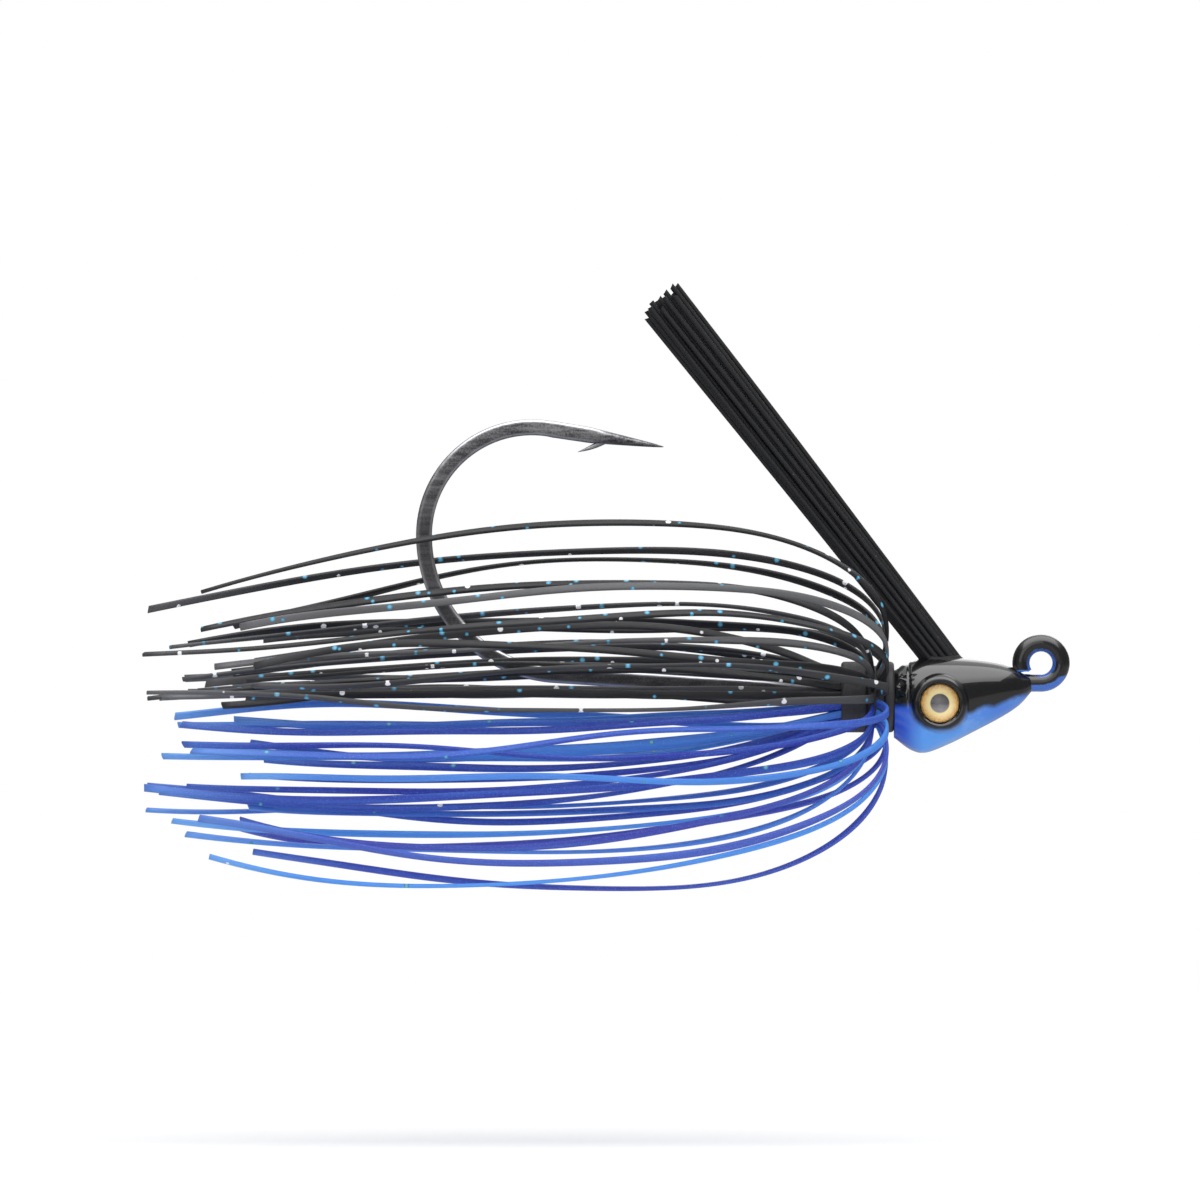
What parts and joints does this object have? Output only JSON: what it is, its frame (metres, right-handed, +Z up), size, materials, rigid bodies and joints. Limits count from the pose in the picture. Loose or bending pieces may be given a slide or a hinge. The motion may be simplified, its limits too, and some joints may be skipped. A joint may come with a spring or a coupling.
{
  "type": "skirted bass jig",
  "caption": "Skirted bass fishing jig: cast head on a forged hook, bristle weed guard, foil eyes and a two-colour silicone skirt.",
  "frame": {"origin": "centre of the line-tie eye, on the lure's middle plane", "axes": "+X forward out of the nose, +Z up on the side of the hook point, +Y to the left along the eye's hole"},
  "size_m": [0.0926, 0.0292, 0.0612],
  "materials": {
    "head_paint": "black over blue paint on cast lead, under a glossy clear coat",
    "black_nickel": "black nickel on forged wire, painted black over blue at the eye",
    "glue": "black glue",
    "bristle_nylon": "black nylon bristle",
    "eye_foil": "gold foil with a dark pupil",
    "eye_dome": "clear resin dome",
    "collar_rubber": "dark rubber",
    "skirt_black": "black silicone with blue and white flake",
    "skirt_blue": "pearl blue silicone"
  },
  "bodies": {
    "lure": {"jig_head": "head_paint", "hook": "black_nickel", "guard_glue": "glue", "eye_foil_right": "eye_foil", "eye_foil_left": "eye_foil", "eye_dome_right": "eye_dome", "eye_dome_left": "eye_dome", "skirt_collar": "collar_rubber"},
    "weed_guard": {"bristles_right_edge": "bristle_nylon", "bristles_right": "bristle_nylon", "bristles_middle": "bristle_nylon", "bristles_left": "bristle_nylon", "bristles_left_edge": "bristle_nylon"},
    "petal_top_right": {"skirt_top_right_outer": "skirt_black", "skirt_top_right_inner": "skirt_black"},
    "petal_top_left": {"skirt_top_left_outer": "skirt_black", "skirt_top_left_inner": "skirt_black"},
    "petal_flank_right": {"skirt_flank_right_outer": "skirt_black", "skirt_flank_right_inner": "skirt_black"},
    "petal_flank_left": {"skirt_flank_left_outer": "skirt_black", "skirt_flank_left_inner": "skirt_black"},
    "petal_cheek_right": {"skirt_cheek_right_outer": "skirt_blue", "skirt_cheek_right_inner": "skirt_blue"},
    "petal_cheek_left": {"skirt_cheek_left_outer": "skirt_blue", "skirt_cheek_left_inner": "skirt_blue"},
    "petal_belly_right": {"skirt_belly_right_outer": "skirt_blue", "skirt_belly_right_inner": "skirt_blue"},
    "petal_belly_left": {"skirt_belly_left_outer": "skirt_blue", "skirt_belly_left_inner": "skirt_blue"}
  },
  "joints": [
    {"name": "guard_flex", "type": "hinge", "parent": "lure", "child": "weed_guard", "pos_m": [-0.00942, 0, -0.00035], "axis": [0, -1, 0], "range_deg": [-15, 9], "stiffness_Nm_per_rad": 0.1},
    {"name": "flare_top_right", "type": "hinge", "parent": "lure", "child": "petal_top_right", "pos_m": [-0.0162, -0.00198, -0.00098], "axis": [0, 0.7744, 0.6327], "range_deg": [0, 14], "stiffness_Nm_per_rad": 0.01},
    {"name": "flare_top_left", "type": "hinge", "parent": "lure", "child": "petal_top_left", "pos_m": [-0.0162, 0.00198, -0.00098], "axis": [0, 0.7744, -0.6327], "range_deg": [0, 14], "stiffness_Nm_per_rad": 0.01},
    {"name": "flare_flank_right", "type": "hinge", "parent": "lure", "child": "petal_flank_right", "pos_m": [-0.0162, -0.00305, -0.00274], "axis": [0, 0.2122, 0.9772], "range_deg": [0, 14], "stiffness_Nm_per_rad": 0.01},
    {"name": "flare_flank_left", "type": "hinge", "parent": "lure", "child": "petal_flank_left", "pos_m": [-0.0162, 0.00305, -0.00274], "axis": [0, 0.2122, -0.9772], "range_deg": [0, 14], "stiffness_Nm_per_rad": 0.01},
    {"name": "flare_cheek_right", "type": "hinge", "parent": "lure", "child": "petal_cheek_right", "pos_m": [-0.0162, -0.0028, -0.00478], "axis": [0, -0.4423, 0.8969], "range_deg": [0, 14], "stiffness_Nm_per_rad": 0.01},
    {"name": "flare_cheek_left", "type": "hinge", "parent": "lure", "child": "petal_cheek_left", "pos_m": [-0.0162, 0.0028, -0.00478], "axis": [0, -0.4423, -0.8969], "range_deg": [0, 14], "stiffness_Nm_per_rad": 0.01},
    {"name": "flare_belly_right", "type": "hinge", "parent": "lure", "child": "petal_belly_right", "pos_m": [-0.0162, -0.00133, -0.00623], "axis": [0, -0.9045, 0.4266], "range_deg": [0, 14], "stiffness_Nm_per_rad": 0.01},
    {"name": "flare_belly_left", "type": "hinge", "parent": "lure", "child": "petal_belly_left", "pos_m": [-0.0162, 0.00133, -0.00623], "axis": [0, -0.9045, -0.4266], "range_deg": [0, 14], "stiffness_Nm_per_rad": 0.01}
  ],
  "couplings": [
    {"joint": "flare_top_right", "follows": "flare_belly_right", "ratio": 1},
    {"joint": "flare_top_left", "follows": "flare_belly_right", "ratio": 1},
    {"joint": "flare_flank_right", "follows": "flare_belly_right", "ratio": 1},
    {"joint": "flare_flank_left", "follows": "flare_belly_right", "ratio": 1},
    {"joint": "flare_cheek_right", "follows": "flare_belly_right", "ratio": 1},
    {"joint": "flare_cheek_left", "follows": "flare_belly_right", "ratio": 1},
    {"joint": "flare_belly_left", "follows": "flare_belly_right", "ratio": 1}
  ]
}
